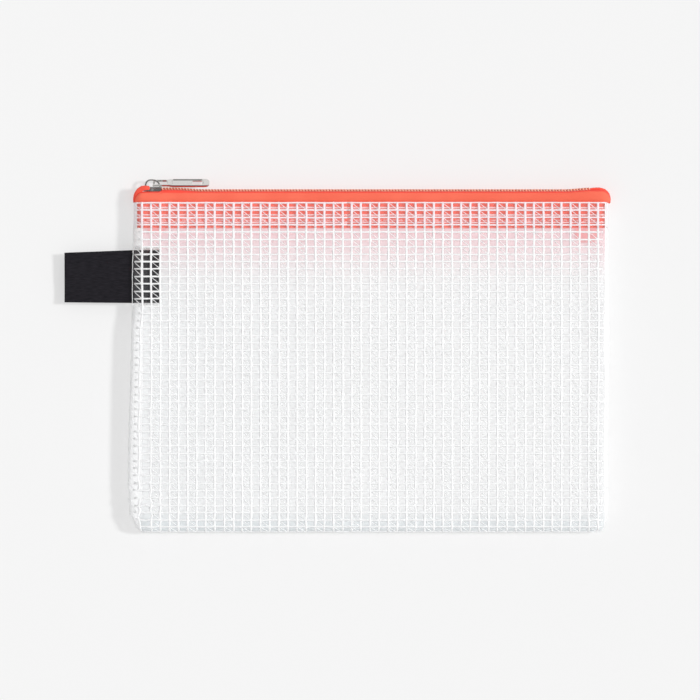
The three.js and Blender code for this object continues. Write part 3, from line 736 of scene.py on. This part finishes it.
# How far a seam's plies lie from the middle plane: two S-shaped steps part them round the
# label's ends.
def plyOffset(x, y):
    part = (smoothStep((y - seam["labelLow"] + seam["partRun"]) / seam["partRun"])
            * smoothStep((seam["labelHigh"] + seam["partRun"] - y) / seam["partRun"]) * (x < 0))
    return between(seam["plyGap"], seam["labelGap"], part)


# A point of a side seam's ply (1 or -1), at a run in from the edge and at a height.
def sidePly(edge):
    def point(inwards, y, ply):
        x = edge * (halfWidthAt(y) - seam["edge"] - inwards)
        ripple = seam["ripple"] * np.sin(y / seam["sideRun"] + ply) * (inwards > 1)
        return settled(pointsOf(x, y, middle + ply * plyOffset(x, y) + ripple), 1)
    return point


# A point of the bottom seam's ply, at a place along X and a run up from the edge.
def bottomPly(x, up, ply):
    ripple = seam["ripple"] * np.sin(x / seam["bottomRun"] + ply) * (up > 1)
    z = middle + ply * seam["plyGap"] + ripple
    return settled(pointsOf(x, pouch["bottomY"] + seam["edge"] + up, z), 1)


# Both plies of a seam: a strip of film each, and threads whose ends stick out past it.
def seamPiece(name, point, upright, crossings, *nodes):
    lots, threads = [], []
    low, high = seam[name]["ends"]
    along = np.linspace(low, high, 90)[:, None]
    inwards = np.linspace(0, seam["width"] - seam["filmShort"], 6)[None, :]
    for ply, first, rows in zip((1, -1), seam[name]["first"], crossings):
        points = point(inwards, along, ply) if upright else point(along, inwards, ply)
        lots.append((points, sheetFaces(points, ply > 0)))
        lines = first + np.array([0, grid["pitchX" if upright else "pitchY"]])
        lines = lines[lines < seam["width"] - seam["lineShort"]]
        inside = rows[(rows > low + seam["endGap"]) & (rows < high - seam["endGap"])]
        longWays = (lines, inside, upright, low, high)
        shortWays = (inside, lines, not upright, seam[name]["inset"], seam["width"] + seam["tip"])
        for run in (longWays, shortWays) if upright else (shortWays, longWays):
            threads.append(woven(point, ply, *run))
    strip = addMesh(name + "_film", *joined(*lots), seamMilk, "mesh_film")
    cord = addMesh(name + "_threads", *joined(*threads), threadWhite, "mesh_film")
    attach(strip, "bag")
    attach(cord, "bag")
    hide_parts(*nodes)
    filmsByPlace(strip)


sideRows = [np.sort(hingeY - rows) for rows in (frontRows, backRows)]
bottomColumns = [columns[np.abs(columns) < seam["bottomColumns"]]
                 for columns in (frontColumns, backColumns)]
seamPiece("left_seam", sidePly(-1), True, sideRows, "left_seam_lower", "left_seam_upper")
seamPiece("right_seam", sidePly(1), True, sideRows, "right_seam")
seamPiece("bottom_seam", bottomPly, False, bottomColumns, "bottom_seam")
print("stage: seams")


# A tape's section is a thickened line through height and offset from the middle plane. At
# its ends its lower part is drawn in by underIn, and on the right its upper part goes out.
tape = {
    "half": 0.21, "end": 100.05, "cornerFrom": {-1: 95.2, 1: 96.3},
    "cornerRun": {-1: 3.95, 1: 3.75},
    "line": [(58.5, 2.75), (69.2, 2.8), (69.75, 3.3), (70.3, 3.85), (71.0, 4.13), (71.9, 4.2),
             (72.9, 4.15), (73.4, 3.85), (73.78, 3.2), (73.85, 0.78)],
    "stations": [(-100.05, -94, 22), (-93, 78, 90), (79, 95, 24), (95.5, 100.05, 18)],
    "endRing": 0.02, "fullBelow": 0.75, "pinchRun": 4, "pinchTo": 0.15, "pinchLeft": 0.04,
    "ripple": 0.05, "rippleRuns": (3.1, 7.7), "underFrom": 88.0, "underIn": 1.7,
    "underTop": 0.2, "underRun": 1.2, "rightOut": 0.8, "outFrom": 90, "outRun": 10,
    # The last two values place the painted shade, the deeper red of the tape's top bend.
    "paintedShadeFrom": 73.2, "paintedShadeRun": 0.3,
}

# The low swelling behind the closed slider: its height and where it fades on either side.
swelling = {"height": 0.7, "from": -71.0, "run": 12.0, "slider": -88.6, "sliderRun": 1.4}


# The height that tapes and coils gain: an S-shaped step towards the right end of the mouth,
# and a low swelling just behind the closed slider.
def endRise(x):
    right = smoothStep((x - pouch["riseStart"]) / (pouch["riseEnd"] - pouch["riseStart"]))
    left = (smoothStep((swelling["from"] - x) / swelling["run"])
            * smoothStep((x - swelling["slider"]) / swelling["sliderRun"]))
    return pouch["rightRise"] * right + swelling["height"] * left


# The tape between two places along X: its section is carried along. Past the mouth its
# height shrinks to nothing round the corner as a quarter ellipse, and at the ends its offset
# shrinks to the share pinchLeft as a quarter circle.
def tapePiece(name, side, low, high):
    section = walled(roundedLine(tape["line"], 60, 3), tape["half"])
    height, offset = section.T[:, None]
    stops = np.concatenate([np.linspace(*stretch) for stretch in tape["stations"]])
    ends = np.clip([low, high], -tape["end"], tape["end"])
    stops = np.unique(np.concatenate([stops[(stops > low) & (stops < high)], ends,
                                      ends + [tape["endRing"], -tape["endRing"]]]))
    x = stops[:, None]
    above = height - mouthY
    proud = np.clip(above / (pouch["tapeFaceY"] - mouthY - tape["fullBelow"]), 0, 1)
    cornerFrom, cornerRun = (np.where(x < 0, tape[key][-1], tape[key][1])
                             for key in ("cornerFrom", "cornerRun"))
    turn = np.clip((np.abs(x) - cornerFrom) / cornerRun, 0, 1)
    corner = np.sqrt(np.maximum(1 - turn ** 2, 0.0))
    y = np.minimum(height, mouthY) + np.maximum(above, 0) * corner
    y = y + endRise(x) * proud * corner
    inwards = np.clip((tape["end"] - np.abs(x)) / tape["pinchRun"], 0, 1)
    lift = np.sqrt(np.maximum(1 - (1 - inwards) ** 2, 0.0))
    offset = between(tape["pinchTo"], offset, between(tape["pinchLeft"], 1, lift))
    shortRun, longRun = tape["rippleRuns"]
    ripple = tape["ripple"] * np.sin(x / shortRun) * np.sin(x / longRun + 1) * proud
    z = middle + side * (offset + ripple)
    under = np.clip((mouthY + tape["underTop"] - height) / tape["underRun"], 0, 1)
    drawn = smoothStep((np.abs(x) - tape["underFrom"]) / (tape["end"] - tape["underFrom"]))
    out = tape["rightOut"] * smoothStep((x - tape["outFrom"]) / tape["outRun"]) * (1 - under)
    points = pointsOf(x - np.sign(x) * tape["underIn"] * drawn * under + out, y, z)
    # Painted shade: a deeper red on the tape's top bend, where its section is high.
    edgeY = np.where(x < 0, y, height)
    strip = smoothStep((edgeY - tape["paintedShadeFrom"]) / tape["paintedShadeRun"])
    if side < 0:
        points, strip = points[:, ::-1], strip[:, ::-1]
    piece = addMesh(name, points, ringFaces(1, len(stops), len(section)), coralTape, "coral_tape")
    setPaintedBendShade(piece, strip.ravel())
    return piece


# Each rim is a row of points, each with its half width and its half height there. Their ends
# are blunt, and they pucker a little.
endRims = {
    "left": [(-99.35, 69.2, 4.9, 0.62, 0.6), (-99.4, 70.6, 5.1, 0.78, 0.7),
             (-98.9, 72.6, 6.0, 0.95, 0.75), (-97.6, 74.3, 7.2, 1.1, 0.6),
             (-95.9, 75.35, 8.0, 1.15, 0.42), (-94.2, 75.5, 8.35, 1.0, 0.38),
             (-92.9, 75.4, 8.3, 0.8, 0.34)],
    "right": [(91.0, 74.85, 5.4, 0.35, 0.5), (93.3, 75.15, 5.4, 0.5, 0.75),
              (96.0, 75.2, 5.35, 0.58, 0.9), (98.3, 74.55, 5.2, 0.66, 1.0),
              (99.75, 73.1, 5.0, 0.66, 0.9), (100.35, 71.3, 4.7, 0.62, 0.75),
              (100.3, 69.0, 4.6, 0.55, 0.6)],
    # strip is the share of the tape's painted shade, its deeper red, that the rims get.
    "blunt": 0.05, "least": 0.04, "pucker": 0.05, "puckerRate": 1.7, "strip": 0.65,
}


# The rolled rim that closes an end of the zipper: an oval bead of tape round the corner. Its
# ends close as quarter circles, and it puckers by a sine.
def endRim(name, rows, node):
    rows = np.array(rows)
    line = roundedLine(rows[:, :3], 44, 4)
    share = np.linspace(0, 1, len(line))
    width, height = (np.interp(share, np.linspace(0, 1, len(rows)), half)
                     for half in rows[:, 3:].T)
    short = np.clip((endRims["blunt"] - np.minimum(share, 1 - share)) / endRims["blunt"], 0, 1)
    blunt = np.sqrt(np.clip(1 - short ** 2, endRims["least"], 1))
    pucker = 1 + endRims["pucker"] * np.sin(np.arange(len(line)) * endRims["puckerRate"])
    bead = tubes(line[None], np.array([0, 0, 1]), width * blunt * pucker, height * blunt, 14)
    rim = addMesh(name, *bead, coralTape, "coral_tape")
    # Painted shade: the rim gets part of the tape's deeper red.
    setPaintedBendShade(rim, endRims["strip"])
    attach(rim, "bag")
    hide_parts(node)


for half, (low, high) in rimHalves.items():
    strip = tapePiece("front_tape_" + half, 1, low, high)
    followRim(strip, half)
    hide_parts("front_tape")
backTape = tapePiece("back_tape_whole", -1, -103, 103)
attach(backTape, "bag")
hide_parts("back_tape")
endRim("left_end_rim", endRims["left"], "left_tape_end")
endRim("right_end_rim", endRims["right"], "right_tape_end")


tails = {"outer": 95.5, "wide": 9.8, "highY": 68.5, "cut": 2.2, "cutShare": 0.12,
         "sway": 0.25, "swayRun": 3, "offset": 1.95, "ripple": 0.14, "rippleRuns": (2.1, 3.4),
         "half": 0.19, "down": 14, "across": 10, "reach": {"left": 12, "right": 16}}


# A tape's tail inside the bag: a soft strip with cut corners, as one thick sheet. Its edges
# sway by a sine of the height, and its face ripples by a sine of both places.
def tailPiece(name, xSide, side, reach):
    down = np.linspace(0, 1, tails["down"])[:, None]
    across = np.linspace(0, 1, tails["across"])[None, :]
    cut = tails["cut"] * (0.5 - np.abs(across - 0.5) < tails["cutShare"])
    y = tails["highY"] - down * (reach - cut)
    sway = tails["sway"] * np.sin(y / tails["swayRun"])
    x = xSide * (tails["outer"] - tails["wide"] * across - sway)
    runX, runY = tails["rippleRuns"]
    z = tails["offset"] + tails["ripple"] * np.sin(x / runX + y / runY)
    rings = slab(x, y, middle + side * z, side * tails["half"])
    if xSide * side < 0:
        rings = rings[:, ::-1]
    faces = ringFaces(1, tails["down"], 2 * tails["across"])
    tail = addMesh(name + "_strip", rings, faces, coralTape, "coral_tape")
    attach(tail, "bag")
    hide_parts(name)


for xSide, xName in ((-1, "left"), (1, "right")):
    for side, sideName in ((1, "front"), (-1, "back")):
        tailPiece(f"{sideName}_tail_{xName}", xSide, side, tails["reach"][xName])
print("stage: tapes")


# One turn of a coil's thread is a row of points: along X, offset from the middle plane,
# height on the tape, and the thread's radius there. axis is the middle of a turn.
coil = {
    "pitch": 1.264, "seat": 0.18, "first": -95.6, "last": 91.6, "mostTurns": 200,
    "spread": 0.9, "spreadFrom": 1.5, "spreadTo": -1.5, "axis": (0.65, 0.475), "stretch": 2.0,
    "turn": [(-0.13, 1.42, 0.14, 0.13), (-0.13, 0.95, 0.19, 0.165), (-0.13, 0.4, 0.19, 0.165),
             (-0.14, -0.02, 0.21, 0.18), (-0.1, -0.2, 0.3, 0.2), (0.0, -0.25, 0.475, 0.2),
             (0.1, -0.2, 0.65, 0.2), (0.14, -0.02, 0.74, 0.18), (0.13, 0.4, 0.76, 0.165),
             (0.13, 0.95, 0.78, 0.165), (0.13, 1.4, 0.8, 0.19), (0.2, 1.6, 0.76, 0.25),
             (0.36, 1.68, 0.5, 0.29), (0.52, 1.6, 0.26, 0.24), (0.68, 1.48, 0.12, 0.14),
             (0.9, 1.44, 0.1, 0.12)],
}
coilSewing = {"rows": (0.72, 1.12), "over": 0.93, "under": 0.36, "past": 0.3,
              "halfAcross": 0.1, "halfUp": 0.08}


# How far each coil is spread at a place along X: an S-shaped step inside the slider, from
# nothing on its right to the whole spread on its left.
def coilSpread(x):
    along = x - pouch["sliderX"]
    return coil["spread"] * smoothStep(
        (coil["spreadFrom"] - along) / (coil["spreadFrom"] - coil["spreadTo"]))


# The starts along X of a coil's turns, or of parts of a turn, between two places.
def coilStarts(phase, parts, low, high, past=0.0):
    steps = np.arange(parts * coil["mostTurns"]) * coil["pitch"] / parts
    starts = coil["first"] + phase * coil["pitch"] + steps
    return starts[(starts > low) & (starts < high) & (starts < coil["last"] + past)]


# A coil is one thread wound into flat turns: each turn is the same few points moved on by
# the pitch. Its outward direction points away from the middle of the turn.
def coilPiece(side, phase, low, high):
    starts = coilStarts(phase, 1, low, high)
    turn = np.array(coil["turn"])
    x = (starts[:, None] + turn[:, 0]).ravel()
    depth, height, radius = np.tile(turn[:, 1:], (len(starts), 1)).T
    axisDepth, axisHeight = coil["axis"]
    y = pouch["tapeFaceY"] + coil["seat"] + height + endRise(x)
    z = middle + side * (depth + coilSpread(x))
    away = pointsOf(0, coil["stretch"] * (height - axisHeight), side * (depth - axisDepth))
    return tubes(pointsOf(x, y, z)[None], away[None], radius, radius, 7)


# The threads that sew a coil to its tape: they dip between the turns and rise over them.
def coilStitch(side, phase, low, high):
    starts = coilStarts(phase, 2, low, high, coilSewing["past"])
    lots = []
    for depth in coilSewing["rows"]:
        over = np.where(np.arange(len(starts)) % 2 == 0, coilSewing["over"], coilSewing["under"])
        y = pouch["tapeFaceY"] + coil["seat"] + over + endRise(starts)
        z = middle + side * (depth + coilSpread(starts))
        lots.append(tubes(pointsOf(starts, y, z)[None], np.array([0, 1, 0]),
                          coilSewing["halfAcross"], coilSewing["halfUp"], 4))
    return joined(*lots)


for half, (low, high) in rimHalves.items():
    teeth = addMesh("front_coil_" + half, *coilPiece(1, 0.0, low, high), coralCoil, "coral_coil")
    followRim(teeth, half)
    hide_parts("front_coil")
    sewn = addMesh("front_coil_stitch_" + half, *coilStitch(1, 0.0, low, high),
                   coralTape, "coral_tape")
    followRim(sewn, half)
teeth = addMesh("back_coil_whole", *coilPiece(-1, 0.5, -103, 103), coralCoil, "coral_coil")
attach(teeth, "bag")
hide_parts("back_coil")
sewn = addMesh("back_coil_stitch", *coilStitch(-1, 0.5, -103, 103), coralTape, "coral_tape")
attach(sewn, "bag")
print("stage: coils")


label = {"start": -99.7, "end": -129.0, "ply": 0.12, "gap": 0.24, "lowStart": 27.12,
         "highStart": 49.42, "lowEnd": 27.4, "highEnd": 48.3, "bow": 0.05, "bowRate": 9,
         "sag": 0.35, "sagRate": 1.2, "sagStart": 0.4, "ripple": 0.12, "rippleRate": 9,
         "innerStart": -100.0, "innerEnd": -89.0, "innerShort": 0.05, "innerHalf": 0.11,
         "innerWave": 0.04, "innerRun": 2.3}


# The folded ribbon: a long U as its section along X, carried from its low to its high edge.
# It sags and ripples by sines across it that grow towards its fold.
def labelPiece():
    out = np.linspace(0, 1, 22)
    span = label["end"] - label["start"] + label["gap"] + label["ply"]
    high = label["gap"] + label["bow"] * np.sin(out * label["bowRate"])
    top = np.stack([label["start"] + span * out, high], axis=-1)
    bend = np.linspace(0, math.pi, 9)[1:-1]
    nose = np.stack([top[-1, 0] - label["gap"] * np.sin(bend), label["gap"] * np.cos(bend)],
                    axis=-1)
    section = walled(np.concatenate([top, nose, top[::-1] * [1, -1]]), label["ply"])
    across = np.linspace(0, 1, 26)[:, None]
    x, height = section.T[:, None]
    share = np.clip((x - label["start"]) / (label["end"] - label["start"]), 0, 1)
    low = between(label["lowStart"], label["lowEnd"], share)
    high = between(label["highStart"], label["highEnd"], share)
    y = between(low, high, across)
    turn = across * math.pi * label["sagRate"] + label["sagStart"]
    ripple = label["ripple"] * np.sin(across * label["rippleRate"])
    z = middle + height - share * (label["sag"] * np.sin(turn) + ripple) * smoothStep(share * 2)
    faces = ringFaces(1, len(across), len(section))
    return addMesh("label_ribbon", pointsOf(x, y, z), faces, blackSatin, "black_satin")


# The label's two ends inside the seam, as one thin woven plate with a slow sine over it.
def labelEnds():
    y = np.linspace(label["lowStart"] + label["innerShort"],
                    label["highStart"] - label["innerShort"], 24)[:, None]
    x = np.linspace(label["innerStart"], label["innerEnd"], 12)[None, :]
    wave = label["innerWave"] * np.sin(y / label["innerRun"] + x)
    rings = slab(x, y, middle + wave, label["innerHalf"])
    faces = ringFaces(1, *rings.shape[:2])
    return addMesh("label_ends", rings, faces, blackSatin, "black_satin")


ribbon = labelPiece()
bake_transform(ribbon)
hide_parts("label_tab")
ends = labelEnds()
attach(ends, "bag")
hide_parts("label_tail")

for node in ("slider_body", "slider_crown", "pull_tab"):
    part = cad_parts[node]
    part.data.materials.clear()
    part.data.materials.append(nickel)
print("stage: label and metal")


# The lamps, the floor and the camera, in metres and degrees. gloss gives the shades of the
# sky that shiny pieces mirror, by the Z of the direction. The camera looks straight down.
studio = {"sky": 0.46, "sunStrength": 1.65, "sunElevation": 42, "sunAzimuth": 8, "sunAngle": 9,
          "fill": 0.775, "floor": 0.865, "background": 0.921, "floorShare": 0.45,
          "floorHalf": 3, "cameraX": -0.0088, "cameraY": 0.00735, "frontZ": 0.009,
          "distance": 2.0, "viewWidth": 0.294, "sensor": 36,
          "gloss": [(0.0, 0.22), (0.2, 0.85), (0.45, 0.95), (0.6, 0.6), (0.75, 0.2),
                    (1.0, 0.16)]}


# A plain grey with no see-through.
def greyOf(shade):
    return (shade, shade, shade, 1)


# The floor's own diffuse grey, and for rays from the camera, from gloss and through glass a
# share of the plain pale background.
def floorLook():
    shade = studio["floor"]
    material, tree, shader = newMaterial("paleFloor", (shade, shade, shade), 0.9,
                                         Specular_IOR_Level=0.0)
    plain = addNode(tree, "ShaderNodeEmission", Color=greyOf(studio["background"]), Strength=1.0)
    path = addNode(tree, "ShaderNodeLightPath")
    seen = path.outputs["Is Camera Ray"]
    for ray in ("Is Glossy Ray", "Is Transmission Ray"):
        seen = worked(tree, "MAXIMUM", seen, path.outputs[ray])
    amount = worked(tree, "MULTIPLY", seen, studio["floorShare"])
    look = mixedShader(tree, amount, shader.outputs[0], plain.outputs[0])
    tree.links.new(look, tree.nodes["Material Output"].inputs["Surface"])
    return material


reach = studio["floorHalf"]
corners = [(-reach, -reach, 0), (reach, -reach, 0), (reach, reach, 0), (-reach, reach, 0)]
floorMesh = bpy.data.meshes.new("floor")
floorMesh.from_pydata(corners, [], [(0, 1, 2, 3)])
floorMesh.materials.append(floorLook())
floor = addObject("floor", floorMesh)

# The sky: gloss sees the bands, the camera the plain background, and the rest an even light.
world = bpy.data.worlds.new("studio")
bpy.context.scene.world = world
world.use_nodes = True
sky = world.node_tree
sky.nodes.clear()
direction = addNode(sky, "ShaderNodeTexCoord").outputs["Generated"]
band = addNode(sky, "ShaderNodeValToRGB", Fac=partsOf(sky, direction)["Z"])
bands = band.color_ramp.elements
for position, _shade in studio["gloss"][1:-1]:
    bands.new(position)
for stop, (_position, shade) in zip(bands, studio["gloss"]):
    stop.color = greyOf(shade)
evenSky = addNode(sky, "ShaderNodeBackground", Color=greyOf(1), Strength=studio["sky"])
shinySky = addNode(sky, "ShaderNodeBackground", Color=band.outputs["Color"], Strength=1.0)
seenSky = addNode(sky, "ShaderNodeBackground", Color=greyOf(studio["background"]), Strength=1.0)
path = addNode(sky, "ShaderNodeLightPath")
lit = mixedShader(sky, path.outputs["Is Glossy Ray"], evenSky.outputs[0], shinySky.outputs[0])
whole = mixedShader(sky, path.outputs["Is Camera Ray"], lit, seenSky.outputs[0])
addNode(sky, "ShaderNodeOutputWorld", Surface=whole)

sun = bpy.data.lights.new("window", "SUN")
sun.energy = studio["sunStrength"]
sun.angle = math.radians(studio["sunAngle"])
sunObject = addObject("window", sun)
sunObject.rotation_euler = (0, math.radians(90 - studio["sunElevation"]),
                            math.radians(studio["sunAzimuth"]))
sunObject.visible_glossy = False

# A soft fill from straight above, which casts no shadow.
fill = bpy.data.lights.new("fill", "SUN")
fill.energy = studio["fill"]
fill.use_shadow = False
fillObject = addObject("fill", fill)
fillObject.visible_glossy = False

bpy.context.scene.view_settings.view_transform = "Standard"
camera = bpy.data.cameras.new("camera")
camera.sensor_width = studio["sensor"]
camera.lens = studio["sensor"] * studio["distance"] / studio["viewWidth"]
camera.clip_end = 20
cameraObject = addObject("camera", camera)
cameraObject.location = (studio["cameraX"], studio["cameraY"],
                         studio["distance"] + studio["frontZ"])
bpy.context.scene.camera = cameraObject
print("stage: studio")
